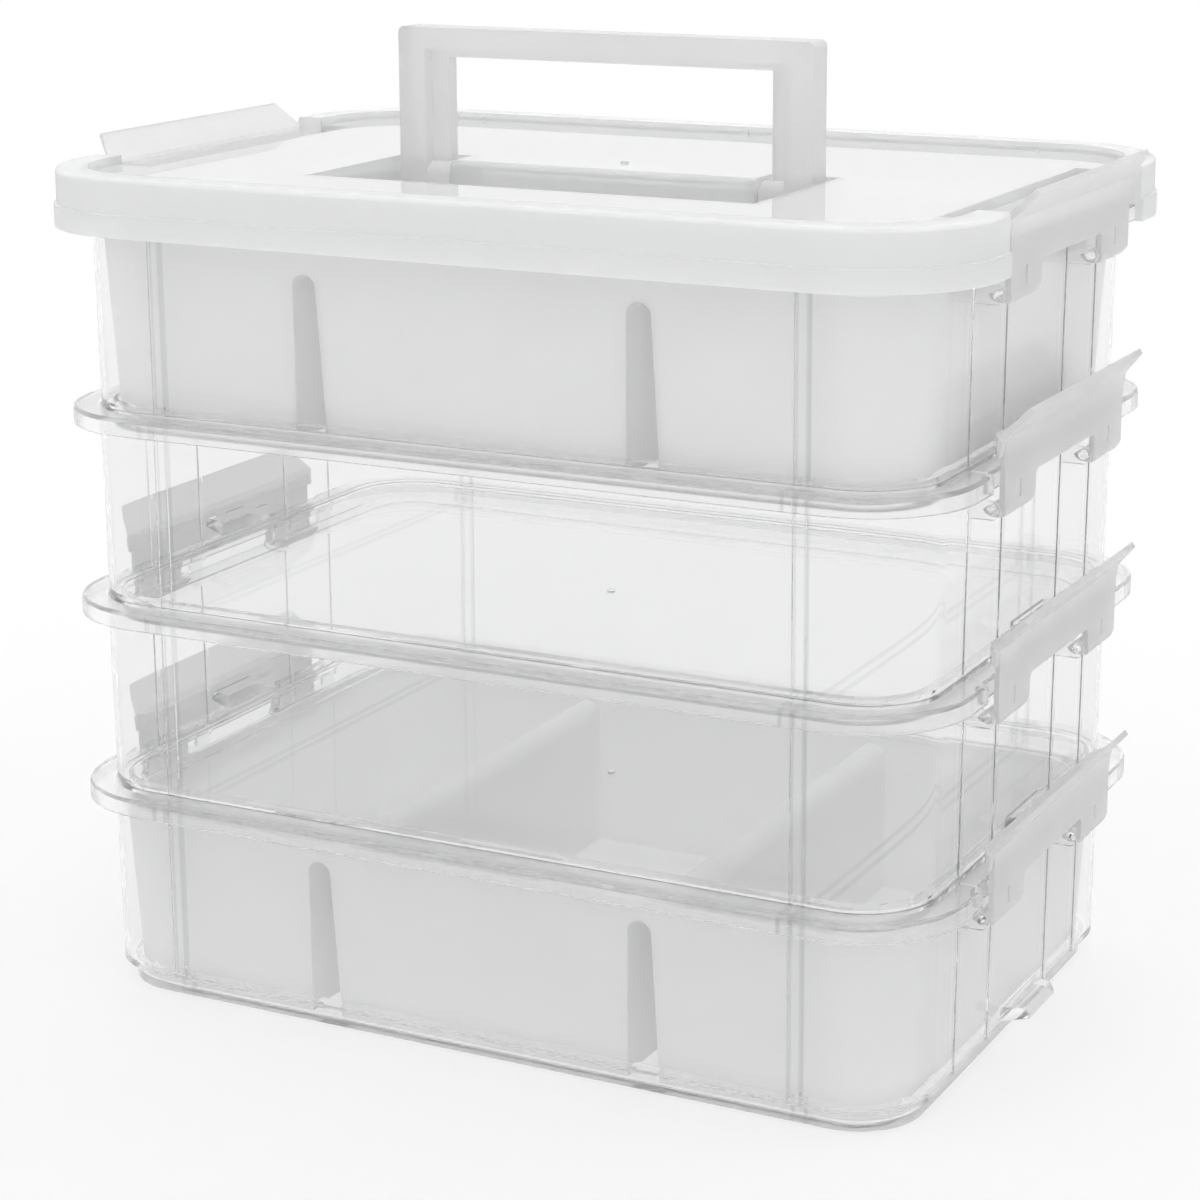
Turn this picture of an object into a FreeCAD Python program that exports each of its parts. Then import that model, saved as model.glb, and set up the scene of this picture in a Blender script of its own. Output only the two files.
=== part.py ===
import FreeCAD, Part
import math
import os

# Stack-and-carry craft organizer box: four clear tubs, a lid with a folding handle,
# two divided trays and eight latches. Millimetres, +X along the long side, -Y the
# front, +Z up, origin on the floor under the middle of the bottom tub.

V = FreeCAD.Vector

# Stack
tier_count = 4
tub_height = 83.5
foot_depth = 8.2

# Tub walls, measured outside at the top
wall_half_length = 173.0
wall_half_width = 116.5
wall_corner_radius = 31.0
wall_thickness = 1.8
wall_draft = 0.7
corner_bulge = 0.5

# Raised bands up the outside of the walls
band_inset = 42.0
band_width = 5.0
band_depth = 0.8

# Tub foot and floor
foot_inset = 4.5
foot_draft = 0.6
floor_thickness = 2.0
floor_raise = 0.8
rest_ring_width = 9.0
gate_radius = 1.6
gate_height = 0.8

# Tub rim: a flange with a down-turned skirt
rim_reach = 10.5
rim_depth = 7.0
rim_thickness = 2.0
skirt_thickness = 1.8
rim_edge_radius = 1.4
rim_recess_depth = 2.5
rim_recess_half_length = 70.5

# Latch hinge on the rim: two pins on each short side, each held by two ears
hinge_inset = 2.0
hinge_drop = 14.0
pin_radius = 1.9
pin_clearance = 0.1
ear_thickness = 2.0
ear_radius = 3.3
leg_inner_y = 33.0
leg_outer_y = 65.0
leg_end_clearance = 0.4

# Catch lip on the short sides of every tub, repeated by the edge of the lid's shelf
lip_reach = 10.0
lip_root_half_width = 18.0
lip_tip_half_width = 14.0
lip_top = 16.5
lip_root_bottom = 10.5
lip_nose_height = 1.2
lip_ramp_reach = 2.0

# Latch
hook_wall = 2.0
latch_plate_drop = 5.5
claw_gap = 0.4
claw_thickness = 3.4
claw_end_taper = 9.0
claw_tip_height = 0.8
fold_step = 1.0
latch_fold_half_length = 68.5
flange_reach = 8.6
flange_rise = 9.6
flange_thickness = 2.2
flange_end_taper = 7.5
leg_slot_width = 2.0
leg_slot_height = 8.0
latch_corner_radius = 3.0
leg_end_radius = 7.0

# Opening travel: the latches swing open while the piece above them lifts off
latch_swing_deg = 165.0
lift_travel = 83.0

# Lid
lid_reach = 15.5
lid_corner_spread = 18.0
lid_height = 22.0
lid_lower_zone = 8.5
lid_step = 1.0
lid_wall = 2.0
lid_overlap = 6.4
lid_edge_radius = 1.6
lid_band_width = 12.0
lid_panel_drop = 3.2
lid_panel_thickness = 2.0
shelf_half_length = 72.5
shelf_inset = 11.0
shelf_thickness = 2.0
tab_width = 9.0
tab_depth = 1.4
tab_spacing = 126.0

# Handle pocket and pivot bridge in the lid
pocket_half_length = 92.0
pocket_front_y = -70.0
pocket_back_y = 8.0
pocket_depth = 14.3
pocket_wall = 1.8
bridge_half_length = 65.0
bridge_front_y = -9.5
bridge_cap = 3.0
bridge_edge_radius = 3.0

# Handle
handle_half_length = 88.0
handle_opening_half_length = 69.0
handle_rise = 48.0
handle_grip_height = 11.7
handle_band = 11.6
handle_grip_band = 8.3
handle_thickness = 12.0
handle_web_thickness = 6.0
handle_corner_radius = 2.5
pivot_y = -2.5
pivot_drop = 7.2
pivot_radius = 3.0
pivot_clearance = 0.1
pivot_side_gap = 1.0
pivot_reach = 3.2

# Trays
tray_drop = 12.5
tray_wall = 1.6
tray_floor = 1.6
tray_foot_ring = 8.0
tray_foot_height = 1.0
tray_side_gap = 1.9
tray_foot_gap = 1.2
divider_inset = 105.0
divider_drop = 8.0
slot_top_width = 9.5
slot_bottom_width = 13.0

# Places worked out from the sizes above
pitch = tub_height - foot_depth
foot_half_length = wall_half_length - foot_inset
foot_half_width = wall_half_width - foot_inset
rim_half_length = wall_half_length + rim_reach
rim_half_width = wall_half_width + rim_reach
rim_corner_radius = wall_corner_radius + rim_reach
rim_bottom = tub_height - rim_depth
recess_x = rim_half_length - rim_recess_depth
hinge_x = rim_half_length - hinge_inset
hinge_z = tub_height - hinge_drop
lip_tip_x = wall_half_length + lip_reach
lift_per_radian = lift_travel / math.radians(latch_swing_deg)
ramp_middle_x = lip_tip_x - lip_ramp_reach / 2
ramp_middle_z = pitch + lip_top - lip_ramp_reach / 2
ramp_slope = (lift_per_radian + ramp_middle_x - hinge_x) / (ramp_middle_z - hinge_z)
lip_nose_top = lip_top - lip_ramp_reach * ramp_slope
seat_z = (tier_count - 1) * pitch + tub_height
lid_bottom = seat_z - lid_overlap
lid_top = lid_bottom + lid_height
panel_top = lid_top - lid_panel_drop
shelf_top = tier_count * pitch + lip_top
lid_half_length = wall_half_length + lid_reach
lid_half_width = wall_half_width + lid_reach
lid_corner_radius = wall_corner_radius + lid_corner_spread
shelf_inner_x = wall_half_length - shelf_inset
latch_plate_bottom = tub_height - latch_plate_drop
handle_top = lid_top + handle_rise
pivot_z = panel_top - pivot_drop
tray_height = tub_height - tray_drop
divider_x = wall_half_length - divider_inset
divider_top = tray_height - divider_drop


def rounded_wire(half_length, half_width, radius, z, bulge=0.0):
    """Closed outline of a rectangle with round corners at height z, its corners pushed out by bulge."""
    edges = []
    corners = []
    for sx, sy in ((1, 1), (-1, 1), (-1, -1), (1, -1)):
        cx = sx * (half_length - radius)
        cy = sy * (half_width - radius)
        along_y = V(cx + sx * radius, cy, z)
        along_x = V(cx, cy + sy * radius, z)
        out = (radius + bulge) / math.sqrt(2)
        middle = V(cx + sx * out, cy + sy * out, z)
        if sx * sy > 0:
            corners.append((along_y, middle, along_x))
        else:
            corners.append((along_x, middle, along_y))
    for index, (start, middle, end) in enumerate(corners):
        edges.append(Part.Arc(start, middle, end).toShape())
        edges.append(Part.LineSegment(end, corners[(index + 1) % 4][0]).toShape())
    return Part.Wire(edges)


def drafted(half_length, half_width, radius, low_z, high_z, draft=0.0, bulge=0.0):
    """Solid between two round-cornered outlines; the sizes given are at high_z, the low end is draft less."""
    low = rounded_wire(half_length - draft, half_width - draft, radius - draft, low_z, bulge)
    high = rounded_wire(half_length, half_width, radius, high_z, bulge)
    return Part.makeLoft([low, high], True, True)


def box(x0, x1, y0, y1, z0, z1):
    """Box between two corners."""
    return Part.makeBox(x1 - x0, y1 - y0, z1 - z0, V(x0, y0, z0))


def prism_y(points, y0, y1):
    """Prism along Y of an outline given as (x, z) points."""
    corners = [V(x, y0, z) for x, z in points]
    return Part.Face(Part.makePolygon(corners + corners[:1])).extrude(V(0, y1 - y0, 0))


def prism_z(points, z0, z1):
    """Prism along Z of an outline given as (x, y) points."""
    corners = [V(x, y, z0) for x, y in points]
    return Part.Face(Part.makePolygon(corners + corners[:1])).extrude(V(0, 0, z1 - z0))


def rod_y(radius, x, z, y0, y1):
    """Round rod along Y."""
    return Part.makeCylinder(radius, y1 - y0, V(x, y0, z), V(0, 1, 0))


def rod_x(radius, y, z, x0, x1):
    """Round rod along X."""
    return Part.makeCylinder(radius, x1 - x0, V(x0, y, z), V(1, 0, 0))


def half_turn(shape):
    """The shape turned half a turn about the Z axis."""
    turned = shape.copy()
    turned.rotate(V(0, 0, 0), V(0, 0, 1), 180)
    return turned


def both_sides(shape):
    """A feature of the right short side together with the same feature of the left one."""
    return shape.fuse(half_turn(shape))


def edges_at(shape, z):
    """Edges that lie wholly at height z."""
    box_of = [(edge, edge.BoundBox) for edge in shape.Edges]
    return [edge for edge, b in box_of if abs(b.ZMin - z) < 1e-6 and abs(b.ZMax - z) < 1e-6]


def ramped_edge(base_x, tip_x, root_bottom, base_z, z_shift):
    """Outline of a catch edge: a slanting underside, a blunt nose, a ramp and a flat top."""
    nose_top = z_shift + lip_nose_top
    top = z_shift + lip_top
    nose_bottom = nose_top - lip_nose_height
    return [(base_x, base_z), (base_x, root_bottom), (tip_x, nose_bottom), (tip_x, nose_top),
            (tip_x - lip_ramp_reach, top), (base_x, top)]


def rim():
    """Flange and skirt round the tub's mouth, set back on the short sides to make room for the latches."""
    body = drafted(rim_half_length, rim_half_width, rim_corner_radius, rim_bottom, tub_height)
    body = body.makeFillet(rim_edge_radius, edges_at(body, tub_height))
    under = drafted(rim_half_length - skirt_thickness, rim_half_width - skirt_thickness,
                    rim_corner_radius - skirt_thickness, rim_bottom, tub_height - rim_thickness)
    notch = box(recess_x, rim_half_length + 1, -rim_recess_half_length, rim_recess_half_length,
                rim_bottom - 1, tub_height + 1)
    keep = box(recess_x - skirt_thickness, rim_half_length + 1,
               -rim_recess_half_length - skirt_thickness, rim_recess_half_length + skirt_thickness,
               rim_bottom - 1, tub_height + 1)
    return body.cut(both_sides(notch)).cut(under.cut(both_sides(keep)))


def hinge_ears():
    """Four ears and two pins under the rim of the right short side."""
    wall_x = wall_half_length - wall_thickness / 2
    shape = None
    for low_y, high_y in ((leg_inner_y, leg_outer_y), (-leg_outer_y, -leg_inner_y)):
        pin = rod_y(pin_radius, hinge_x, hinge_z, low_y - leg_end_clearance - ear_thickness,
                    high_y + leg_end_clearance + ear_thickness)
        shape = pin if shape is None else shape.fuse(pin)
        for ear_y in (low_y - leg_end_clearance - ear_thickness, high_y + leg_end_clearance):
            arm = box(wall_x, hinge_x, ear_y, ear_y + ear_thickness, hinge_z - ear_radius,
                      hinge_z + ear_radius)
            stem = box(wall_x, recess_x - skirt_thickness / 2, ear_y, ear_y + ear_thickness, hinge_z,
                       tub_height - rim_thickness / 2)
            end = rod_y(ear_radius, hinge_x, hinge_z, ear_y, ear_y + ear_thickness)
            shape = shape.fuse([arm, stem, end])
    return shape


def catch_lip():
    """Tab low on the right short side, which the latch of the tub below holds down."""
    wall_x = wall_half_length - wall_thickness
    profile = ramped_edge(wall_x, lip_tip_x, lip_root_bottom, lip_top, 0)
    slab = prism_y(profile, -lip_root_half_width, lip_root_half_width)
    plan = prism_z([(wall_x, -lip_root_half_width), (lip_tip_x, -lip_tip_half_width),
                    (lip_tip_x, lip_tip_half_width), (wall_x, lip_root_half_width)],
                   0, tub_height)
    return slab.common(plan)


def wall_bands():
    """Bands up the tub's walls: four on the long sides, and one below each ear on the short sides."""
    low = foot_depth + band_depth
    high = tub_height - rim_thickness / 2
    skin = drafted(wall_half_length + band_depth, wall_half_width + band_depth,
                   wall_corner_radius + band_depth, foot_depth, tub_height, wall_draft)
    strips = []
    for x in (band_inset - wall_half_length, wall_half_length - band_inset):
        strips.append(box(x - band_width / 2, x + band_width / 2, -rim_half_width, rim_half_width, low, high))
    inner_y = leg_inner_y - leg_end_clearance - ear_thickness
    outer_y = leg_outer_y + leg_end_clearance
    for y in (-outer_y - ear_thickness, -inner_y - ear_thickness, inner_y, outer_y):
        strips.append(box(-rim_half_length, rim_half_length, y, y + ear_thickness, low, high))
    return [skin.common(strip) for strip in strips]


def tub():
    """Clear tub: a foot that nests in the tub below, drafted walls and a rim."""
    foot_radius = wall_corner_radius - (wall_half_length - foot_half_length)
    outer = drafted(foot_half_length, foot_half_width, foot_radius, 0, foot_depth + wall_thickness / 2,
                    foot_draft)
    wall = drafted(wall_half_length, wall_half_width, wall_corner_radius, foot_depth, tub_height,
                   wall_draft, corner_bulge)
    shape = outer.fuse([wall, rim(), both_sides(hinge_ears()), both_sides(catch_lip())] + wall_bands())
    hollow = drafted(wall_half_length - wall_thickness, wall_half_width - wall_thickness,
                     wall_corner_radius - wall_thickness, foot_depth + wall_thickness, tub_height + 1,
                     wall_draft, corner_bulge)
    foot_hollow = drafted(foot_half_length - wall_thickness, foot_half_width - wall_thickness,
                          foot_radius - wall_thickness, floor_raise + floor_thickness,
                          foot_depth + 2 * wall_thickness, foot_draft)
    recess = drafted(foot_half_length - rest_ring_width, foot_half_width - rest_ring_width,
                     foot_radius - rest_ring_width, -1, floor_raise)
    gate = Part.makeCylinder(gate_radius, gate_height + floor_thickness / 2,
                             V(0, 0, floor_raise + floor_thickness / 2))
    return shape.cut([hollow, foot_hollow, recess]).fuse(gate).removeSplitter()


def latch_profile_points():
    """Outline of the latch's plate, claw and finger flange, seen along its hinge, as (x, z) points."""
    inner_x = hinge_x + pin_radius + pin_clearance
    outer_x = inner_x + hook_wall
    gap_up = claw_gap * math.sqrt(1 + ramp_slope * ramp_slope)
    ramp_start_z = pitch + lip_top - (inner_x - lip_tip_x + lip_ramp_reach) * ramp_slope + gap_up
    claw_top = pitch + lip_top + claw_thickness
    ramp_end_z = claw_top - claw_tip_height
    claw_tip_x = inner_x - (ramp_end_z - ramp_start_z) / ramp_slope
    run = math.hypot(flange_reach, flange_rise)
    side_x = flange_thickness * flange_rise / run
    side_z = flange_thickness * flange_reach / run
    fold_z = claw_top + fold_step
    return {
        "inner_x": inner_x, "outer_x": outer_x, "ramp_start_z": ramp_start_z,
        "claw_tip_x": claw_tip_x, "ramp_end_z": ramp_end_z, "claw_top": claw_top,
        "fold": (outer_x - side_x, fold_z),
        "tip_top": (outer_x - side_x + flange_reach, fold_z + flange_rise),
        "tip_low": (outer_x + flange_reach, fold_z + flange_rise - side_z),
        "root_low": (outer_x, fold_z - side_z),
    }


def leg_outline(low_y, high_y, low_z, high_z, low_x, high_x):
    """Block for trimming a leg: an outline in Y and Z with two round lower corners, drawn out along X."""
    turn = leg_end_radius * (1 - math.sqrt(0.5))
    start = V(low_x, low_y, low_z + leg_end_radius)
    first = V(low_x, low_y + leg_end_radius, low_z)
    second = V(low_x, high_y - leg_end_radius, low_z)
    end = V(low_x, high_y, low_z + leg_end_radius)
    edges = [Part.Arc(start, V(low_x, low_y + turn, low_z + turn), first).toShape(),
             Part.LineSegment(first, second).toShape(),
             Part.Arc(second, V(low_x, high_y - turn, low_z + turn), end).toShape(),
             Part.LineSegment(end, V(low_x, high_y, high_z)).toShape(),
             Part.LineSegment(V(low_x, high_y, high_z), V(low_x, low_y, high_z)).toShape(),
             Part.LineSegment(V(low_x, low_y, high_z), start).toShape()]
    return Part.Face(Part.Wire(edges)).extrude(V(high_x - low_x, 0, 0))


def latch():
    """Latch of the right short side: plate, ramped claw, finger flange and two hooked legs."""
    p = latch_profile_points()
    inner_x = p["inner_x"]
    outer_x = p["outer_x"]
    plate = prism_y([(inner_x, latch_plate_bottom), (outer_x, latch_plate_bottom),
                     (outer_x, p["claw_top"]), (inner_x, p["claw_top"])], -leg_outer_y, leg_outer_y)
    claw = prism_y([(inner_x + hook_wall / 2, p["ramp_start_z"]), (inner_x, p["ramp_start_z"]),
                    (p["claw_tip_x"], p["ramp_end_z"]), (p["claw_tip_x"], p["claw_top"]),
                    p["fold"], (outer_x, p["root_low"][1])], -latch_fold_half_length,
                   latch_fold_half_length)
    claw_plan = prism_z([(p["claw_tip_x"], claw_end_taper - latch_fold_half_length),
                         (inner_x, -latch_fold_half_length), (outer_x + 1, -latch_fold_half_length),
                         (outer_x + 1, latch_fold_half_length), (inner_x, latch_fold_half_length),
                         (p["claw_tip_x"], latch_fold_half_length - claw_end_taper)],
                        0, 2 * tub_height)
    claw = claw.common(claw_plan)
    flange = prism_y([p["fold"], p["root_low"], p["tip_low"], p["tip_top"]],
                     -latch_fold_half_length, latch_fold_half_length)
    tip_half = latch_fold_half_length - flange_end_taper
    low_x = p["fold"][0] - 1
    high_x = p["tip_low"][0]
    taper_start = p["fold"][0]
    flange_plan = prism_z([(low_x, -latch_fold_half_length), (taper_start, -latch_fold_half_length),
                           (high_x, -tip_half), (high_x, tip_half),
                           (taper_start, latch_fold_half_length), (low_x, latch_fold_half_length)],
                          0, 2 * tub_height)
    flange = flange.common(flange_plan)
    shape = plate.fuse([claw, flange])
    ring_radius = pin_radius + pin_clearance + hook_wall
    for low_y, high_y in ((leg_inner_y, leg_outer_y), (-leg_outer_y, -leg_inner_y)):
        leg = box(inner_x, outer_x, low_y, high_y, hinge_z, latch_plate_bottom)
        ring = rod_y(ring_radius, hinge_x, hinge_z, low_y, high_y)
        open_top = box(hinge_x - ring_radius - 1, inner_x, low_y, high_y, hinge_z, hinge_z + ring_radius + 1)
        bore = rod_y(pin_radius + pin_clearance, hinge_x, hinge_z, low_y, high_y)
        middle_y = (low_y + high_y) / 2
        slot = box(inner_x - 1, outer_x + 1, middle_y - leg_slot_width / 2, middle_y + leg_slot_width / 2,
                   hinge_z + hook_wall, hinge_z + hook_wall + leg_slot_height)
        outline = leg_outline(low_y, high_y, hinge_z - ring_radius, latch_plate_bottom,
                              hinge_x - ring_radius - 1, outer_x + 1)
        hook = ring.cut(open_top).fuse(leg).cut(bore).cut(slot).common(outline)
        shape = shape.fuse(hook)
    shape = shape.removeSplitter()
    inner_corners = [e for e in edges_at(shape, latch_plate_bottom)
                     if abs(abs(e.CenterOfMass.y) - leg_inner_y) < 1e-6]
    return shape.makeFillet(latch_corner_radius, inner_corners)


def lid_ring(outset, low_z, high_z, width):
    """Ring of the lid, its outside outset from the seat wall's inner face, width thick."""
    half_length = lid_half_length - lid_step - lid_band_width + outset
    half_width = lid_half_width - lid_step - lid_band_width + outset
    radius = lid_corner_radius - lid_step - lid_band_width + outset
    outer = drafted(half_length, half_width, radius, low_z, high_z)
    inner = drafted(half_length - width, half_width - width, radius - width, low_z - 1, high_z + 1)
    return outer.cut(inner)


def lid():
    """Lid: stepped skirt, flat rim band, sunk panel, latch shelves and the handle's pocket."""
    lower = drafted(lid_half_length, lid_half_width, lid_corner_radius, lid_bottom,
                    lid_bottom + lid_lower_zone)
    upper = drafted(lid_half_length - lid_step, lid_half_width - lid_step, lid_corner_radius - lid_step,
                    lid_bottom + lid_lower_zone, lid_top)
    upper = upper.makeFillet(lid_edge_radius, edges_at(upper, lid_top))
    shape = lower.fuse(upper)
    under = drafted(lid_half_length - lid_step - lid_wall, lid_half_width - lid_step - lid_wall,
                    lid_corner_radius - lid_step - lid_wall, lid_bottom - 1, lid_top - lid_wall)
    panel_half_length = lid_half_length - lid_step - lid_band_width
    panel_half_width = lid_half_width - lid_step - lid_band_width
    panel_radius = lid_corner_radius - lid_step - lid_band_width
    sunk = drafted(panel_half_length, panel_half_width, panel_radius, panel_top, lid_top + 1)
    seat = lid_ring(lid_wall, seat_z, lid_top, lid_wall)
    panel = drafted(panel_half_length, panel_half_width, panel_radius, panel_top - lid_panel_thickness,
                    panel_top)
    shape = shape.cut(under).fuse([seat, panel]).cut(sunk)

    # Latch shelf of the right short side: floor, inner step, end walls and catch edge
    y1 = shelf_half_length
    y2 = shelf_half_length + lid_wall
    clear = box(shelf_inner_x, lid_half_length + 1, -y1, y1, lid_bottom - 1, lid_top + 1)
    walls = box(shelf_inner_x - shelf_thickness, lid_half_length + 1, -y2, y2, shelf_top - shelf_thickness,
                lid_top + 1)
    ends = box(panel_half_length, lid_half_length + 1, -y2, y2, seat_z, lid_top + 1)
    full = lower.fuse(upper).cut(sunk)
    end_walls = full.common(walls.fuse(ends)).cut(clear)
    floor = box(shelf_inner_x - shelf_thickness, recess_x, -y1, y1, shelf_top - shelf_thickness, shelf_top)
    seat_wall = box(panel_half_length, panel_half_length + lid_wall, -y1, y1, seat_z, shelf_top)
    edge_wall = box(recess_x - lid_wall, recess_x, -y1, y1, seat_z, shelf_top)
    rise = tier_count * pitch
    edge = prism_y(ramped_edge(recess_x - lid_wall, lip_tip_x, rise + lip_nose_top - 2 * lip_nose_height,
                               rise + lip_top, rise), -latch_fold_half_length, latch_fold_half_length)
    shelf = floor.fuse([seat_wall, edge_wall, edge])
    shape = shape.cut(both_sides(clear)).fuse([both_sides(end_walls), both_sides(shelf)])

    # Handle pocket with the pivot bridge left standing in it
    floor_z = panel_top - pocket_depth
    pocket = box(-pocket_half_length, pocket_half_length, pocket_front_y, pocket_back_y, floor_z,
                 lid_top)
    shell = box(-pocket_half_length - pocket_wall, pocket_half_length + pocket_wall,
                pocket_front_y - pocket_wall, pocket_back_y + pocket_wall, floor_z - pocket_wall,
                panel_top)
    bridge = box(-bridge_half_length, bridge_half_length, bridge_front_y, pocket_back_y,
                 floor_z - pocket_wall, panel_top)
    bridge_edges = [e for e in edges_at(bridge, panel_top) if e.BoundBox.YMax < bridge_front_y + 1e-6]
    bridge = bridge.makeFillet(bridge_edge_radius, bridge_edges)
    inside = box(-bridge_half_length + bridge_cap, bridge_half_length - bridge_cap,
                 bridge_front_y + pocket_wall, pocket_back_y + pocket_wall + 1,
                 floor_z - pocket_wall - 1, panel_top - lid_panel_thickness)
    bore = rod_x(pivot_radius + pivot_clearance, pivot_y, pivot_z, -bridge_half_length,
                 bridge_half_length)
    shape = shape.fuse(shell).cut(pocket).fuse(bridge).cut(inside).cut(bore)

    # Small tabs on the inner face of the rim band, three at the back and three in front
    for side in (-1, 1):
        for x in (-tab_spacing, 0, tab_spacing):
            y_out = side * panel_half_width
            y_in = side * (panel_half_width - tab_depth)
            shape = shape.fuse(box(x - tab_width / 2, x + tab_width / 2, min(y_out, y_in),
                                   max(y_out, y_in), panel_top, lid_top - lid_edge_radius))
    gate = Part.makeCylinder(gate_radius, gate_height + lid_panel_thickness / 2,
                             V(0, pocket_back_y + 3 * gate_radius, panel_top - lid_panel_thickness / 2))
    return shape.fuse(gate).removeSplitter()


def handle():
    """Upright handle: a stepped U with two pivot pins that reach into the bridge."""
    front_y = pivot_y - handle_thickness / 2
    back_y = pivot_y + handle_thickness / 2
    outline = box(-handle_half_length, handle_half_length, front_y, back_y, pivot_z, handle_top)
    top_corners = [e for e in outline.Edges if e.BoundBox.ZMin > handle_top - 1e-6
                   and e.BoundBox.XLength < 1e-6]
    outline = outline.makeFillet(handle_corner_radius, top_corners)
    band_inner = handle_half_length - handle_band
    window = box(-band_inner, band_inner, front_y, back_y - handle_web_thickness, pivot_z - 1,
                 handle_top - handle_grip_band)
    opening = box(-handle_opening_half_length, handle_opening_half_length, front_y - 1, back_y + 1,
                  pivot_z - 1, handle_top - handle_grip_height)
    shape = outline.cut([window, opening])
    for side in (-1, 1):
        leg_outer = side * handle_half_length
        leg_inner = side * handle_opening_half_length
        pin_end = side * (bridge_half_length - pivot_reach)
        boss_face = side * (bridge_half_length + pivot_side_gap)
        round_end = rod_x(handle_thickness / 2, pivot_y, pivot_z, min(leg_outer, boss_face),
                          max(leg_outer, boss_face))
        pin = rod_x(pivot_radius, pivot_y, pivot_z, min(leg_inner, pin_end), max(leg_inner, pin_end))
        shape = shape.fuse([round_end, pin])
    return shape.removeSplitter()


def tray():
    """White tray with three compartments; its two dividers are hollow from below and open at both ends."""
    base_z = floor_raise + floor_thickness
    top_half_length = wall_half_length - wall_thickness - tray_side_gap
    top_half_width = wall_half_width - wall_thickness - tray_side_gap
    taper = top_half_length - (foot_half_length - foot_draft - wall_thickness - tray_foot_gap)
    radius = wall_corner_radius - wall_thickness - tray_side_gap
    top_z = base_z + tray_height
    outer = drafted(top_half_length, top_half_width, radius, base_z, top_z, taper)
    inner = drafted(top_half_length - tray_wall, top_half_width - tray_wall, radius - tray_wall,
                    base_z + tray_foot_height + tray_floor, top_z, taper)
    above = drafted(top_half_length - tray_wall, top_half_width - tray_wall, radius - tray_wall,
                    top_z, top_z + 1)
    ring_inset = taper + tray_foot_ring
    under = drafted(top_half_length - ring_inset, top_half_width - ring_inset,
                    max(radius - ring_inset, tray_foot_ring), base_z - 1, base_z + tray_foot_height)
    shape = outer.cut(inner.fuse(above))
    slot_height = divider_top - slot_top_width / 2
    for x in (-divider_x, divider_x):
        solid_top = slot_top_width / 2 + tray_wall
        solid_bottom = slot_bottom_width / 2 + tray_wall
        block = prism_y([(x - solid_bottom, base_z), (x + solid_bottom, base_z),
                         (x + solid_top, base_z + slot_height), (x - solid_top, base_z + slot_height)],
                        -wall_half_width, wall_half_width)
        crown = rod_y(solid_top, x, base_z + slot_height, -wall_half_width, wall_half_width)
        gap = prism_y([(x - slot_bottom_width / 2, base_z - 1), (x + slot_bottom_width / 2, base_z - 1),
                       (x + slot_top_width / 2, base_z + slot_height),
                       (x - slot_top_width / 2, base_z + slot_height)],
                      -wall_half_width, wall_half_width)
        gap_crown = rod_y(slot_top_width / 2, x, base_z + slot_height, -wall_half_width, wall_half_width)
        shape = shape.fuse(block.fuse(crown).common(outer)).cut(gap.fuse(gap_crown))
    shape = shape.cut(under)
    return shape.removeSplitter()


def placed(shape, rise):
    """A copy of the shape raised by rise."""
    copy = shape.copy()
    copy.translate(V(0, 0, rise))
    return copy


def build():
    """Every piece of the box at its place, by name."""
    nodes = {}
    one_tub = tub()
    one_latch = latch()
    one_tray = tray()
    for tier in range(1, tier_count + 1):
        rise = (tier - 1) * pitch
        nodes[f"tier_{tier}"] = placed(one_tub, rise)
        nodes[f"latch_right_{tier}"] = placed(one_latch, rise)
        nodes[f"latch_left_{tier}"] = placed(half_turn(one_latch), rise)
    nodes["bottom_tray"] = placed(one_tray, 0)
    nodes["top_tray"] = placed(one_tray, (tier_count - 1) * pitch)
    nodes["lid"] = lid()
    nodes["handle"] = handle()
    return nodes


os.makedirs("parts", exist_ok=True)
for name, shape in build().items():
    shape.exportStep(f"parts/{name}.step")
    print(name, len(shape.Solids), round(shape.Volume / 1000, 1), "cm3", shape.isValid())
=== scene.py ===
"""Looks of a stack-and-carry craft organizer box: tubs, lid, trays, latches and handle."""
import logging
import math
from dataclasses import dataclass
from enum import Enum

import bpy
import numpy as np
from mathutils import Matrix, Vector

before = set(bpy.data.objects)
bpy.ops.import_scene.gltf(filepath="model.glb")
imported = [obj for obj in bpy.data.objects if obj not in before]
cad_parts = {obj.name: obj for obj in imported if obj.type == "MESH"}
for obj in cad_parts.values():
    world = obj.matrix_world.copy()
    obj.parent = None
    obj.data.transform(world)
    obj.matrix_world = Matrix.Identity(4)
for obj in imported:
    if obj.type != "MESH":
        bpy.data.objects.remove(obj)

LOG = logging.getLogger("organizer_box")
MM = 0.001
TIERS = range(1, 5)
SIDES = ("left", "right")
TIER_PITCH = 75.3 * MM
RIM_LOW = 76.0 * MM
LID_PANEL_LOW = 300.0 * MM
Colour = tuple[float, float, float]
Place = tuple[float, float, float]


class Zone(Enum):
    """Which outline a finish turns from clear to frosted at."""

    TUB_WALL = "tub wall"
    LID_PANEL = "lid panel"


@dataclass(frozen=True)
class RoundOutline:
    """Rectangle with round corners, seen from above, in metres."""

    half_length: float
    half_width: float
    radius: float


OUTLINES: dict[Zone, RoundOutline] = {
    Zone.TUB_WALL: RoundOutline(half_length=0.1738, half_width=0.1173, radius=0.0318),
    Zone.LID_PANEL: RoundOutline(half_length=0.1757, half_width=0.1192, radius=0.0362),
}


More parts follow.
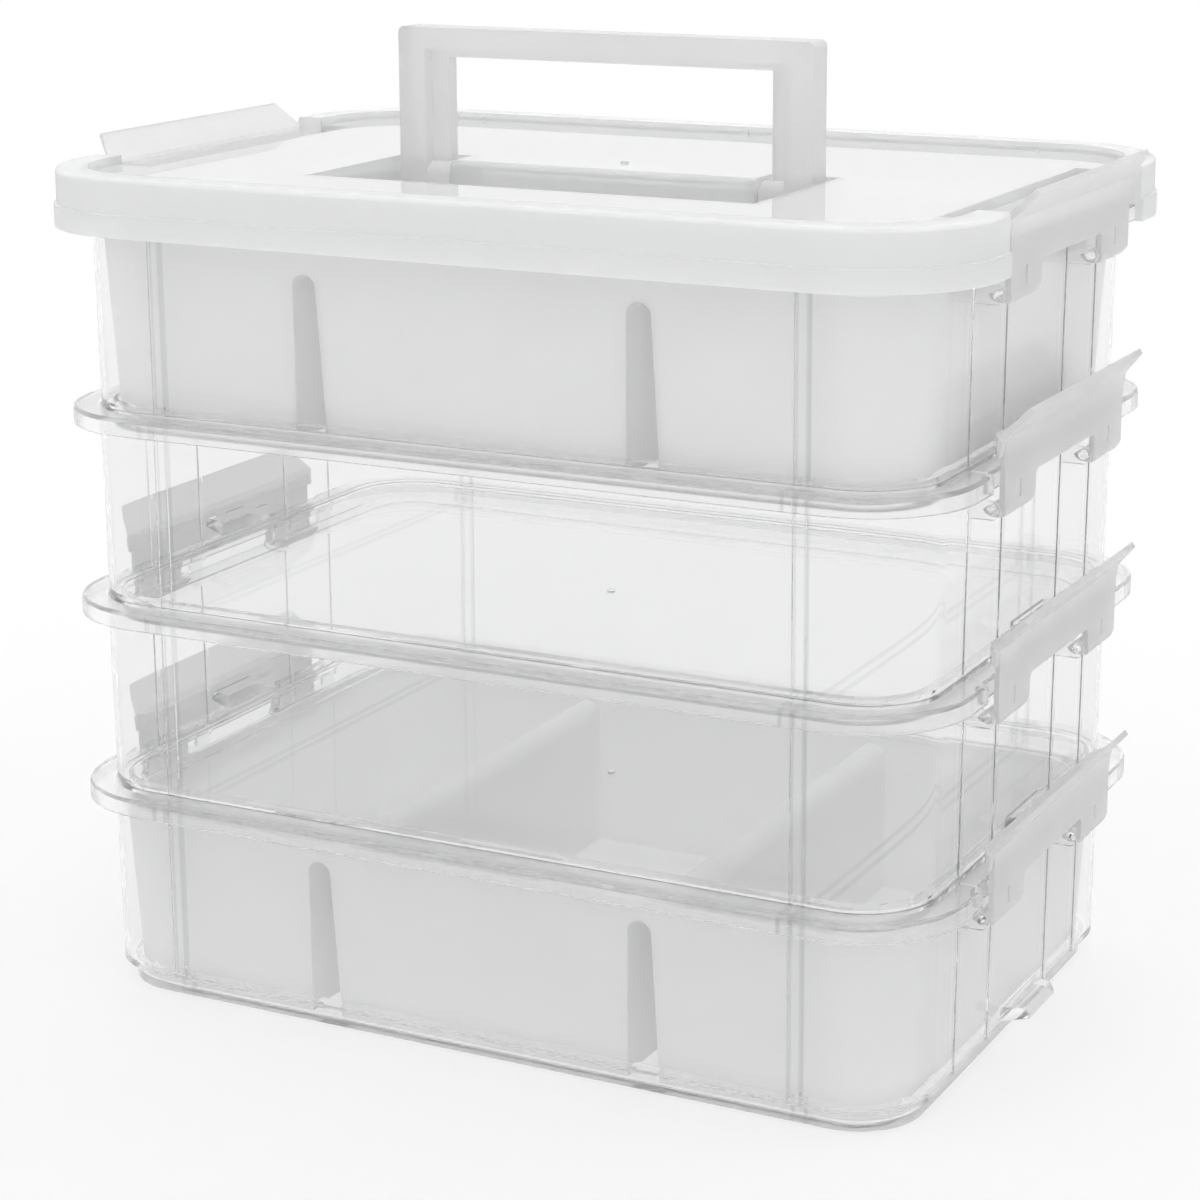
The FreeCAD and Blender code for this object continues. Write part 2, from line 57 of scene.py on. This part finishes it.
class Nodes:
    """Short ways to add and join the nodes of one tree."""

    def __init__(self, tree: bpy.types.NodeTree) -> None:
        """Keeps the tree that nodes are added to."""
        self.tree = tree

    def add(self, kind: str, **values: object) -> bpy.types.Node:
        """Adds a node and sets its attributes.

        Args:
            kind: the node's type name.
            values: attributes of the node.

        Returns:
            The new node.
        """
        node = self.tree.nodes.new(kind)
        for name, value in values.items():
            setattr(node, name, value)
        return node

    def join(self, source: bpy.types.NodeSocket, target: bpy.types.NodeSocket) -> None:
        """Links one socket to another."""
        self.tree.links.new(source, target)

    def feed(self, target: bpy.types.NodeSocket, value: object) -> None:
        """Sets an input: a socket is linked, anything else becomes its default.

        Args:
            target: the input socket.
            value: a socket, or a number, colour or vector.
        """
        if isinstance(value, bpy.types.NodeSocket):
            self.join(value, target)
        else:
            target.default_value = value

    def math(self, operation: str, *terms: object, clamp: bool = False) -> bpy.types.NodeSocket:
        """A Math node.

        Args:
            operation: its operation.
            terms: its inputs, sockets or numbers.
            clamp: whether the result is kept between 0 and 1.

        Returns:
            The result's socket.
        """
        node = self.add("ShaderNodeMath", operation=operation, use_clamp=clamp)
        for target, term in zip(node.inputs, terms):
            self.feed(target, term)
        return node.outputs[0]

    def ramp(self, value: object, low: float, high: float, to_low: float = 0.0,
             to_high: float = 1.0) -> bpy.types.NodeSocket:
        """A smooth step: to_low below low, to_high above high, an S-shaped run between.

        Args:
            value: the socket to map.
            low: where the step starts.
            high: where it ends.
            to_low: the result at the start.
            to_high: the result at the end.

        Returns:
            The result's socket.
        """
        node = self.add("ShaderNodeMapRange", interpolation_type="SMOOTHSTEP")
        for index, term in enumerate((value, low, high, to_low, to_high)):
            self.feed(node.inputs[index], term)
        return node.outputs[0]

    def noise(self, vector: bpy.types.NodeSocket, scale: float, detail: float,
              roughness: float) -> bpy.types.NodeSocket:
        """A noise texture's value.

        Args:
            vector: where it is read.
            scale: features to the metre.
            detail: octaves.
            roughness: how strong the fine octaves are.

        Returns:
            The value's socket.
        """
        node = self.add("ShaderNodeTexNoise", noise_dimensions="3D")
        self.feed(node.inputs["Vector"], vector)
        self.feed(node.inputs["Scale"], scale)
        node.inputs["Detail"].default_value = detail
        node.inputs["Roughness"].default_value = roughness
        return node.outputs[0]

    def mix_colour(self, share: object, first: object, second: object) -> bpy.types.NodeSocket:
        """A colour between two.

        Args:
            share: 0 for the first, 1 for the second.
            first: socket or colour.
            second: socket or colour.

        Returns:
            The colour's socket.
        """
        node = self.add("ShaderNodeMix", data_type="RGBA")
        self.feed(node.inputs[0], share)
        self.feed(node.inputs[6], first)
        self.feed(node.inputs[7], second)
        return node.outputs[2]

    def relief(self, height: bpy.types.NodeSocket, strength: float) -> bpy.types.NodeSocket:
        """A Bump node's normal.

        Args:
            height: the surface's height, in millimetres.
            strength: how much of the height shows.

        Returns:
            The normal's socket.
        """
        bump = self.add("ShaderNodeBump")
        bump.inputs["Strength"].default_value = strength
        bump.inputs["Distance"].default_value = MM
        self.join(height, bump.inputs["Height"])
        return bump.outputs[0]


class SharedEffects:
    """The node groups that several finishes share, each built once."""

    def __init__(self) -> None:
        """Builds the groups."""
        self.skin = self._moulded_skin()
        self.outside = self._outside_outline()
        self.marks = self._handling_marks()

    def _group(self, name: str, inputs: dict[str, str], outputs: dict[str, str]
               ) -> tuple[bpy.types.NodeTree, Nodes, bpy.types.Node, bpy.types.Node]:
        """An empty group with its sockets.

        Args:
            name: the group's name.
            inputs: socket types by name.
            outputs: socket types by name.

        Returns:
            The tree, its helper, its input node and its output node.
        """
        tree = bpy.data.node_groups.new(name, "ShaderNodeTree")
        for label, kind in inputs.items():
            tree.interface.new_socket(label, in_out="INPUT", socket_type=kind)
        for label, kind in outputs.items():
            tree.interface.new_socket(label, in_out="OUTPUT", socket_type=kind)
        nodes = Nodes(tree)
        return tree, nodes, nodes.add("NodeGroupInput"), nodes.add("NodeGroupOutput")

    def _moulded_skin(self) -> bpy.types.NodeTree:
        """Moulded wall: slow waves where the plastic shrank, a faint flow streak and fine grain.

        Returns:
            The group, which puts out the height in millimetres and a mask of cloudy patches.
        """
        tree, nodes, enter, leave = self._group(
            "moulded_skin",
            {"Place": "NodeSocketVector", "Waves": "NodeSocketFloat", "Grain": "NodeSocketFloat"},
            {"Height": "NodeSocketFloat", "Blotch": "NodeSocketFloat"})
        streak_share = 0.12
        streak_stretch = (1.0, 1.0, 0.25)
        place = enter.outputs["Place"]
        slow = nodes.noise(place, scale=9.0, detail=2.0, roughness=0.45)
        stretched = nodes.add("ShaderNodeMapping")
        nodes.join(place, stretched.inputs["Vector"])
        stretched.inputs["Scale"].default_value = streak_stretch
        streak = nodes.noise(stretched.outputs[0], scale=55.0, detail=2.0, roughness=0.5)
        fine = nodes.noise(place, scale=900.0, detail=3.0, roughness=0.6)
        uneven = nodes.math("ADD", slow, nodes.math("MULTIPLY", streak, streak_share))
        waves = nodes.math("MULTIPLY", uneven, enter.outputs["Waves"])
        grain = nodes.math("MULTIPLY", fine, enter.outputs["Grain"])
        nodes.join(nodes.math("ADD", waves, grain), leave.inputs["Height"])
        patches = nodes.noise(place, scale=22.0, detail=4.0, roughness=0.55)
        nodes.join(nodes.ramp(patches, low=0.3, high=0.7), leave.inputs["Blotch"])
        return tree

    def _outside_outline(self) -> bpy.types.NodeTree:
        """Distance outside a round-cornered outline, in metres, as seen from above.

        With q the part of (|x|, |y|) past the corner circle's centre, never below 0, the distance is
        the length of q less the radius.

        Returns:
            The group.
        """
        tree, nodes, enter, leave = self._group(
            "outside_outline",
            {"Place": "NodeSocketVector", "Half Length": "NodeSocketFloat",
             "Half Width": "NodeSocketFloat", "Radius": "NodeSocketFloat"},
            {"Distance": "NodeSocketFloat"})
        split = nodes.add("ShaderNodeSeparateXYZ")
        nodes.join(enter.outputs["Place"], split.inputs[0])
        parts = []
        for axis, half in ((0, "Half Length"), (1, "Half Width")):
            centre = nodes.math("SUBTRACT", enter.outputs[half], enter.outputs["Radius"])
            past = nodes.math("SUBTRACT", nodes.math("ABSOLUTE", split.outputs[axis]), centre)
            parts.append(nodes.math("POWER", nodes.math("MAXIMUM", past, 0.0), 2.0))
        length = nodes.math("SQRT", nodes.math("ADD", *parts))
        nodes.join(nodes.math("SUBTRACT", length, enter.outputs["Radius"]), leave.inputs["Distance"])
        return tree

    def _handling_marks(self) -> bpy.types.NodeTree:
        """Thin rubbed scratches: narrow bands of two stretched noises, broken up by a third.

        Returns:
            The group, which puts out the scratches' mask.
        """
        tree, nodes, enter, leave = self._group(
            "handling_marks", {"Place": "NodeSocketVector", "Amount": "NodeSocketFloat"},
            {"Mask": "NodeSocketFloat"})
        tilt = 0.2
        turns_and_stretches = ((0.6, (40.0, 6.0, 6.0)), (-0.9, (5.0, 35.0, 8.0)))
        noise_middle = 0.5
        scratch_half_width = 0.012
        bands = []
        for turn, stretch in turns_and_stretches:
            mapping = nodes.add("ShaderNodeMapping")
            nodes.join(enter.outputs["Place"], mapping.inputs["Vector"])
            mapping.inputs["Rotation"].default_value = (tilt, turn, turn)
            mapping.inputs["Scale"].default_value = stretch
            value = nodes.noise(mapping.outputs[0], scale=6.0, detail=2.0, roughness=0.5)
            off = nodes.math("ABSOLUTE", nodes.math("SUBTRACT", value, noise_middle))
            bands.append(nodes.ramp(off, 0.0, scratch_half_width, to_low=1.0, to_high=0.0))
        patches = nodes.noise(enter.outputs["Place"], scale=14.0, detail=2.0, roughness=0.5)
        broken = nodes.ramp(patches, low=0.5, high=0.7)
        both = nodes.math("MAXIMUM", *bands)
        mask = nodes.math("MULTIPLY", nodes.math("MULTIPLY", both, broken), enter.outputs["Amount"])
        nodes.join(mask, leave.inputs["Mask"])
        return tree

    @staticmethod
    def place(nodes: Nodes, group: bpy.types.NodeTree, **values: object) -> bpy.types.Node:
        """Puts a group into a material.

        Args:
            nodes: the material's helper.
            group: the group.
            values: its inputs by name, with underscores for spaces.

        Returns:
            The group's node.
        """
        node = nodes.add("ShaderNodeGroup", node_tree=group)
        for name, value in values.items():
            nodes.feed(node.inputs[name.replace("_", " ")], value)
        return node


@dataclass(frozen=True)
class ClearFinish:
    """Clear moulded plastic that is frosted outside an outline, as on a rim, skirt or band.

    Attributes:
        name: the material's name.
        zone: the outline that the frosted part starts at.
        tint: colour of the clear part.
        cloud: colour of its cloudy patches.
        frosted_tint: colour of the frosted part.
        smooth: roughness of the clear part.
        frost: roughness of the frosted part.
        waves: height of the slow waves, in millimetres.
        grain: height of the fine grain, in millimetres.
        frost_from_z: height above the floor from which the frost starts, in metres.
        clearness: how much light goes through.
        bend: index of refraction.
        lamp_share: how much of a lamp's light goes through each face.
        band_x: distance of the raised bands from the middle of the wall, where shade is painted along
            their edges, or 0 for none.
        band_half_width: half the width of a band.
        painted_band_shade: colour of the shade painted along the bands' edges.
        painted_shade_inner: how far from a band's edge the painted shade is full.
        painted_shade_outer: how far from a band's edge the painted shade ends.
        blend_from: distance past the outline at which the frost starts.
        blend_to: distance past the outline at which the frost is full.
        blend_height: height that the frost takes to come in.
        marks_amount: strength of the scratches' mask.
        marks_roughness: roughness that a scratch adds.
        relief: how much of the height shows.
    """

    name: str
    zone: Zone
    tint: Colour
    cloud: Colour
    frosted_tint: Colour
    smooth: float
    frost: float
    waves: float
    grain: float
    frost_from_z: float
    clearness: float
    bend: float
    lamp_share: float
    band_x: float = 0.0
    band_half_width: float = 0.0025
    # painted shade along the raised bands' edges: its colour and how far it reaches
    painted_band_shade: Colour = (0.8, 0.805, 0.81)
    painted_shade_inner: float = 0.0002
    painted_shade_outer: float = 0.0009
    blend_from: float = -0.0002
    blend_to: float = 0.0006
    blend_height: float = 0.0005
    marks_amount: float = 0.5
    marks_roughness: float = 0.08
    relief: float = 0.35

    def with_painted_band_shade(self, nodes: Nodes, along: bpy.types.NodeSocket,
                        colour: bpy.types.NodeSocket) -> bpy.types.NodeSocket:
        """Paints shade into the colour along the two edges of each raised band, where the thicker
        plastic turns and bends the light.

        Args:
            nodes: the material's helper.
            along: x of the shaded point.
            colour: the wall's colour.

        Returns:
            The colour with the painted edge shade in it.
        """
        past_middle = nodes.math("SUBTRACT", nodes.math("ABSOLUTE", along), self.band_x)
        from_middle = nodes.math("ABSOLUTE", past_middle)
        past_edge = nodes.math("SUBTRACT", from_middle, self.band_half_width)
        from_edge = nodes.math("ABSOLUTE", past_edge)
        # mask of the painted shade: full at a band's edge, gone a little way off
        share = nodes.ramp(from_edge, self.painted_shade_inner, self.painted_shade_outer, to_low=1.0, to_high=0.0)
        return nodes.mix_colour(share, colour, (*self.painted_band_shade, 1.0))

    def material(self, effects: SharedEffects) -> bpy.types.Material:
        """Builds the material.

        Args:
            effects: the shared node groups.

        Returns:
            The material.
        """
        mat = bpy.data.materials.new(self.name)
        mat.use_nodes = True
        nodes = Nodes(mat.node_tree)
        shader = mat.node_tree.nodes["Principled BSDF"]
        place = nodes.add("ShaderNodeTexCoord").outputs["Object"]
        outline = OUTLINES[self.zone]
        outside = effects.place(nodes, effects.outside, Place=place, Half_Length=outline.half_length,
                                Half_Width=outline.half_width, Radius=outline.radius)
        split = nodes.add("ShaderNodeSeparateXYZ")
        nodes.join(place, split.inputs[0])
        past = nodes.ramp(outside.outputs[0], self.blend_from, self.blend_to)
        above = nodes.ramp(split.outputs[2], self.frost_from_z - self.blend_height, self.frost_from_z)
        frosted = nodes.math("MULTIPLY", past, above)
        skin = effects.place(nodes, effects.skin, Place=place, Waves=self.waves, Grain=self.grain)
        marks = effects.place(nodes, effects.marks, Place=place, Amount=self.marks_amount)
        rough = nodes.ramp(frosted, 0.0, 1.0, self.smooth, self.frost)
        scratched = nodes.math("MULTIPLY", marks.outputs[0], self.marks_roughness)
        rough = nodes.math("ADD", rough, scratched, clamp=True)
        nodes.join(rough, shader.inputs["Roughness"])
        colour = nodes.mix_colour(skin.outputs["Blotch"], (*self.tint, 1.0), (*self.cloud, 1.0))
        colour = nodes.mix_colour(frosted, colour, (*self.frosted_tint, 1.0))
        # painted shade: darker colour along the raised bands' edges
        if self.band_x:
            colour = self.with_painted_band_shade(nodes, split.outputs[0], colour)
        nodes.join(colour, shader.inputs["Base Color"])
        nodes.join(nodes.relief(skin.outputs["Height"], self.relief), shader.inputs["Normal"])
        shader.inputs["Transmission Weight"].default_value = self.clearness
        shader.inputs["IOR"].default_value = self.bend
        let_lamps_through(nodes, shader, self.lamp_share)
        return mat


@dataclass(frozen=True)
class MilkyFinish:
    """White plastic that light gets into or through: trays, latches and the handle.

    Attributes:
        name: the material's name.
        light: colour of the plastic.
        deep: colour of its cloudy patches.
        rough: least roughness.
        glow: how much light goes into the plastic and comes out again nearby.
        clearness: how much light goes through.
        bend: index of refraction.
        lamp_share: how much of a lamp's light goes through each face.
        waves: height of the slow waves, in millimetres.
        grain: height of the fine grain, in millimetres.
        glow_depth: how deep the light goes in, in metres.
        rough_spread: roughness that the cloudy patches add.
        marks_amount: strength of the scratches' mask.
        marks_roughness: roughness that a scratch adds.
        relief: how much of the height shows.
    """

    name: str
    light: Colour
    deep: Colour
    rough: float
    glow: float
    clearness: float
    bend: float
    lamp_share: float
    waves: float
    grain: float
    glow_depth: float = 0.003
    rough_spread: float = 0.06
    marks_amount: float = 0.6
    marks_roughness: float = 0.12
    relief: float = 0.3

    def material(self, effects: SharedEffects) -> bpy.types.Material:
        """Builds the material.

        Args:
            effects: the shared node groups.

        Returns:
            The material.
        """
        mat = bpy.data.materials.new(self.name)
        mat.use_nodes = True
        nodes = Nodes(mat.node_tree)
        shader = mat.node_tree.nodes["Principled BSDF"]
        place = nodes.add("ShaderNodeTexCoord").outputs["Object"]
        skin = effects.place(nodes, effects.skin, Place=place, Waves=self.waves, Grain=self.grain)
        marks = effects.place(nodes, effects.marks, Place=place, Amount=self.marks_amount)
        colour = nodes.mix_colour(skin.outputs["Blotch"], (*self.light, 1.0), (*self.deep, 1.0))
        nodes.join(colour, shader.inputs["Base Color"])
        rough = nodes.ramp(skin.outputs["Blotch"], 0.0, 1.0, self.rough, self.rough + self.rough_spread)
        scratched = nodes.math("MULTIPLY", marks.outputs[0], self.marks_roughness)
        rough = nodes.math("ADD", rough, scratched, clamp=True)
        nodes.join(rough, shader.inputs["Roughness"])
        nodes.join(nodes.relief(skin.outputs["Height"], self.relief), shader.inputs["Normal"])
        shader.inputs["Subsurface Weight"].default_value = self.glow
        shader.inputs["Subsurface Scale"].default_value = self.glow_depth
        shader.inputs["Subsurface Radius"].default_value = (1.0, 1.0, 1.0)
        shader.inputs["Transmission Weight"].default_value = self.clearness
        shader.inputs["IOR"].default_value = self.bend
        let_lamps_through(nodes, shader, self.lamp_share)
        return mat


@dataclass
class Shell:
    """One or more carried-over pieces that share a finish."""

    pieces: list[str]
    finish: ClearFinish | MilkyFinish
    effects: SharedEffects

    def dress(self) -> None:
        """Gives every piece of this group its material."""
        material = self.finish.material(self.effects)
        for name in self.pieces:
            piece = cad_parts[name]
            if not piece.material_slots:
                piece.data.materials.append(None)
            for slot in piece.material_slots:
                slot.link = "OBJECT"
                slot.material = material
            LOG.info("%s: %s", name, self.finish.name)


@dataclass(frozen=True)
class SoftLamp:
    """Round soft lamp that shines at the middle of the box, in metres and watts."""

    name: str
    place: Place
    size: float
    power: float
    aim: Place = (0.0, 0.0, 0.18)

    def put_up(self) -> None:
        """Adds the lamp to the scene, turned to its aim."""
        data = bpy.data.lights.new(self.name, "AREA")
        data.shape = "DISK"
        data.size = self.size
        data.energy = self.power
        lamp = bpy.data.objects.new(self.name, data)
        lamp.location = self.place
        towards = Vector(self.aim) - Vector(self.place)
        lamp.rotation_euler = towards.to_track_quat("-Z", "Y").to_euler()
        bpy.context.scene.collection.objects.link(lamp)
        LOG.info("%s: %.0f W", self.name, self.power)


@dataclass(frozen=True)
class Studio:
    """Pale floor, white surroundings and soft lamps.

    Attributes:
        floor_radius: radius of the floor, in metres.
        floor_drop: how far it lies below the box's foot, in metres.
        rings: rings of faces in the floor.
        turns: faces to a ring.
        floor_grey: grey of the floor's own surface.
        white_near: how white the floor looks beside the box.
        fade_from: distance from the middle at which it starts to fade to white.
        fade_to: distance from the middle at which it is white.
        sky: strength of the soft light from all sides.
        lamps: the soft lamps.
    """

    floor_radius: float = 8.0
    floor_drop: float = 0.0002
    rings: int = 24
    turns: int = 72
    floor_grey: float = 0.93
    white_near: float = 0.45
    fade_from: float = 0.25
    fade_to: float = 0.75
    sky: float = 0.82
    lamps: tuple[SoftLamp, ...] = (
        SoftLamp("key_light", place=(-1.6, -2.2, 2.6), size=2.4, power=2.0),
        SoftLamp("side_light", place=(2.6, -0.6, 1.6), size=1.8, power=1.0),
        SoftLamp("top_light", place=(0.0, 0.8, 3.2), size=2.2, power=27.0),
    )

    def floor(self) -> bpy.types.Object:
        """Round floor: points at radius R s squared and angle 2 pi t, s and t from 0 to 1.

        Returns:
            The floor's object.
        """
        s = (np.arange(1, self.rings + 1) / self.rings) ** 2 * self.floor_radius
        t = np.arange(self.turns) * (2 * math.pi / self.turns)
        ring, turn = np.meshgrid(s, t, indexing="ij")
        level = np.full_like(ring, -self.floor_drop)
        points = np.stack([ring * np.cos(turn), ring * np.sin(turn), level], -1)
        points = np.vstack([[[0.0, 0.0, -self.floor_drop]], points.reshape(-1, 3)])
        index = np.arange(self.rings * self.turns).reshape(self.rings, self.turns) + 1
        ahead = np.roll(index, -1, axis=1)
        quads = np.stack([index[:-1], index[1:], ahead[1:], ahead[:-1]], -1).reshape(-1, 4)
        fan = np.stack([np.zeros(self.turns, int), index[0], ahead[0]], -1)
        mesh = bpy.data.meshes.new("studio_floor")
        mesh.from_pydata(points.tolist(), [], fan.tolist() + quads.tolist())
        ground = bpy.data.objects.new("studio_floor", mesh)
        bpy.context.scene.collection.objects.link(ground)
        mesh.materials.append(self._floor_material())
        return ground

    def _floor_material(self) -> bpy.types.Material:
        """Pale floor that keeps the shadow near the box and fades to white away from it.

        Returns:
            The material.
        """
        mat = bpy.data.materials.new("pale_floor")
        mat.use_nodes = True
        nodes = Nodes(mat.node_tree)
        mat.node_tree.nodes.clear()
        out = nodes.add("ShaderNodeOutputMaterial")
        diffuse = nodes.add("ShaderNodeBsdfDiffuse")
        diffuse.inputs["Color"].default_value = (self.floor_grey, self.floor_grey, self.floor_grey, 1.0)
        white = nodes.add("ShaderNodeEmission")
        white.inputs["Color"].default_value = (1.0, 1.0, 1.0, 1.0)
        place = nodes.add("ShaderNodeTexCoord").outputs["Object"]
        length = nodes.add("ShaderNodeVectorMath", operation="LENGTH")
        nodes.join(place, length.inputs[0])
        away = nodes.ramp(length.outputs["Value"], self.fade_from, self.fade_to, self.white_near, 1.0)
        mix = nodes.add("ShaderNodeMixShader")
        nodes.join(nodes.math("MULTIPLY", away, seen_directly(nodes)), mix.inputs[0])
        nodes.join(diffuse.outputs[0], mix.inputs[1])
        nodes.join(white.outputs[0], mix.inputs[2])
        nodes.join(mix.outputs[0], out.inputs["Surface"])
        return mat

    def surroundings(self) -> None:
        """White world to the eye, in reflections and through glass; plain soft light for the rest."""
        world = bpy.data.worlds.new("studio_white")
        bpy.context.scene.world = world
        world.use_nodes = True
        nodes = Nodes(world.node_tree)
        world.node_tree.nodes.clear()
        out = nodes.add("ShaderNodeOutputWorld")
        light = nodes.add("ShaderNodeBackground")
        light.inputs["Color"].default_value = (1.0, 1.0, 1.0, 1.0)
        light.inputs["Strength"].default_value = self.sky
        seen = nodes.add("ShaderNodeBackground")
        seen.inputs["Color"].default_value = (1.0, 1.0, 1.0, 1.0)
        seen.inputs["Strength"].default_value = 1.0
        mix = nodes.add("ShaderNodeMixShader")
        nodes.join(seen_directly(nodes), mix.inputs[0])
        nodes.join(light.outputs[0], mix.inputs[1])
        nodes.join(seen.outputs[0], mix.inputs[2])
        nodes.join(mix.outputs[0], out.inputs["Surface"])

    def light_up(self) -> None:
        """Puts up the lamps."""
        for lamp in self.lamps:
            lamp.put_up()


def let_lamps_through(nodes: Nodes, shader: bpy.types.Node, share: float) -> None:
    """Mixes a shader with plain transparency for the rays that ask whether a lamp is hidden.

    Args:
        nodes: the material's helper.
        shader: the surface's own shader.
        share: how much of a lamp's light goes through each face.
    """
    out = next(node for node in nodes.tree.nodes if node.bl_idname == "ShaderNodeOutputMaterial")
    clear = nodes.add("ShaderNodeBsdfTransparent")
    clear.inputs["Color"].default_value = (share, share, share, 1.0)
    mix = nodes.add("ShaderNodeMixShader")
    nodes.join(nodes.add("ShaderNodeLightPath").outputs["Is Shadow Ray"], mix.inputs[0])
    nodes.join(shader.outputs[0], mix.inputs[1])
    nodes.join(clear.outputs[0], mix.inputs[2])
    nodes.join(mix.outputs[0], out.inputs["Surface"])


def seen_directly(nodes: Nodes) -> bpy.types.NodeSocket:
    """1 for rays that the eye follows straight, by reflection or through glass, else 0.

    Args:
        nodes: the tree's helper.

    Returns:
        The socket.
    """
    path = nodes.add("ShaderNodeLightPath")
    first = nodes.math("MAXIMUM", path.outputs["Is Camera Ray"], path.outputs["Is Glossy Ray"])
    return nodes.math("MAXIMUM", first, path.outputs["Is Transmission Ray"])


@dataclass(frozen=True)
class PhotoCamera:
    """Camera at the photograph's viewing angle, in degrees and metres.

    Attributes:
        azimuth: how far it stands round to the right.
        elevation: how far it looks down.
        roll: how far it is turned about its own axis.
        place: where it stands.
        focal_pixels: focal length, in pixels of the photograph.
        width_pixels: width of the photograph, in pixels.
        shift_down: how far the picture is shifted, in picture widths.
        sensor: width of the sensor, in millimetres.
    """

    azimuth: float = 27.196
    elevation: float = 13.501
    roll: float = -0.24
    place: Place = (0.5283, -1.0376, 0.4686)
    focal_pixels: float = 3046.6
    width_pixels: float = 1200.0
    shift_down: float = 0.08
    sensor: float = 36.0

    def make(self) -> bpy.types.Object:
        """Creates the camera and makes it the scene's.

        Returns:
            The camera.
        """
        az, el, ro = (math.radians(v) for v in (self.azimuth, self.elevation, self.roll))
        back = Vector((math.sin(az) * math.cos(el), -math.cos(az) * math.cos(el), math.sin(el)))
        level = Vector((math.cos(az), math.sin(az), 0.0))
        up = back.cross(level)
        right = level * math.cos(ro) + up * math.sin(ro)
        top = up * math.cos(ro) - level * math.sin(ro)
        data = bpy.data.cameras.new("photo_camera")
        data.sensor_width = self.sensor
        data.lens = self.focal_pixels / self.width_pixels * self.sensor
        data.shift_y = -self.shift_down
        camera = bpy.data.objects.new("photo_camera", data)
        axes = Matrix((right, top, back)).transposed().to_4x4()
        camera.matrix_world = Matrix.Translation(self.place) @ axes
        bpy.context.scene.collection.objects.link(camera)
        bpy.context.scene.camera = camera
        return camera


def tub_finish(tier: int) -> ClearFinish:
    """Clear tub with two raised bands on each long wall, with shade painted along their edges, frosted
    from its rim up.

    Args:
        tier: 1 for the lowest tub, 4 for the highest.

    Returns:
        The finish.
    """
    return ClearFinish(
        name=f"clear_tub_{tier}",
        zone=Zone.TUB_WALL,
        tint=(0.996, 0.997, 0.998),
        cloud=(0.99, 0.991, 0.992),
        frosted_tint=(0.995, 0.996, 0.997),
        smooth=0.03,
        frost=0.22,
        waves=0.004,
        grain=0.002,
        frost_from_z=(tier - 1) * TIER_PITCH + RIM_LOW,
        clearness=0.92,
        bend=1.15,
        lamp_share=0.995,
        # bands whose edges get painted shade
        band_x=0.131)


FROSTED_LID = ClearFinish(
    name="frosted_lid",
    zone=Zone.LID_PANEL,
    tint=(0.9, 0.902, 0.904),
    cloud=(0.885, 0.887, 0.889),
    frosted_tint=(0.985, 0.987, 0.989),
    smooth=0.03,
    frost=0.5,
    waves=0.006,
    grain=0.006,
    frost_from_z=LID_PANEL_LOW,
    clearness=0.55,
    bend=1.3,
    lamp_share=0.98)

MILKY_TRAY = MilkyFinish(
    name="milky_tray",
    light=(0.915, 0.915, 0.915),
    deep=(0.9, 0.9, 0.9),
    rough=0.45,
    glow=0.8,
    clearness=0.0,
    bend=1.46,
    lamp_share=0.97,
    waves=0.05,
    grain=0.01,
    glow_depth=0.006)

FROSTED_LATCH = MilkyFinish(
    name="frosted_latch",
    light=(0.92, 0.92, 0.92),
    deep=(0.9, 0.9, 0.9),
    rough=0.45,
    glow=0.0,
    clearness=0.6,
    bend=1.3,
    lamp_share=0.97,
    waves=0.04,
    grain=0.01)

WHITE_HANDLE = MilkyFinish(
    name="white_handle",
    light=(0.92, 0.92, 0.92),
    deep=(0.9, 0.9, 0.9),
    rough=0.45,
    glow=0.0,
    clearness=0.5,
    bend=1.3,
    lamp_share=0.97,
    waves=0.04,
    grain=0.01)


def box_shells(effects: SharedEffects) -> list[Shell]:
    """Sorts the box's pieces by finish, from the lowest tub to the handle.

    Args:
        effects: the shared node groups.

    Returns:
        The groups of pieces.
    """
    latches = [f"latch_{side}_{tier}" for side in SIDES for tier in TIERS]
    shells = [Shell([f"tier_{tier}"], tub_finish(tier), effects) for tier in TIERS]
    shells.append(Shell(["lid"], FROSTED_LID, effects))
    shells.append(Shell(["bottom_tray", "top_tray"], MILKY_TRAY, effects))
    shells.append(Shell(latches, FROSTED_LATCH, effects))
    shells.append(Shell(["handle"], WHITE_HANDLE, effects))
    return shells


def follow_light_through_layers(scene: bpy.types.Scene, most: int = 32) -> None:
    """Lets light cross the many clear walls that lie one behind another.

    Args:
        scene: the scene.
        most: how many faces a ray may cross; it may be scattered half as often.
    """
    scene.cycles.max_bounces = most
    scene.cycles.transmission_bounces = most
    scene.cycles.transparent_max_bounces = most
    scene.cycles.diffuse_bounces = most // 2
    scene.cycles.glossy_bounces = most // 2


def main() -> None:
    """Dresses the box, lights it and frames it."""
    logging.basicConfig(level=logging.INFO, format="%(message)s")
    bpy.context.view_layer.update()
    scene = bpy.context.scene
    scene.view_settings.view_transform = "Standard"
    follow_light_through_layers(scene)
    for shell in box_shells(SharedEffects()):
        shell.dress()
    studio = Studio()
    studio.floor()
    studio.surroundings()
    studio.light_up()
    PhotoCamera().make()


if __name__ == "__main__":
    main()
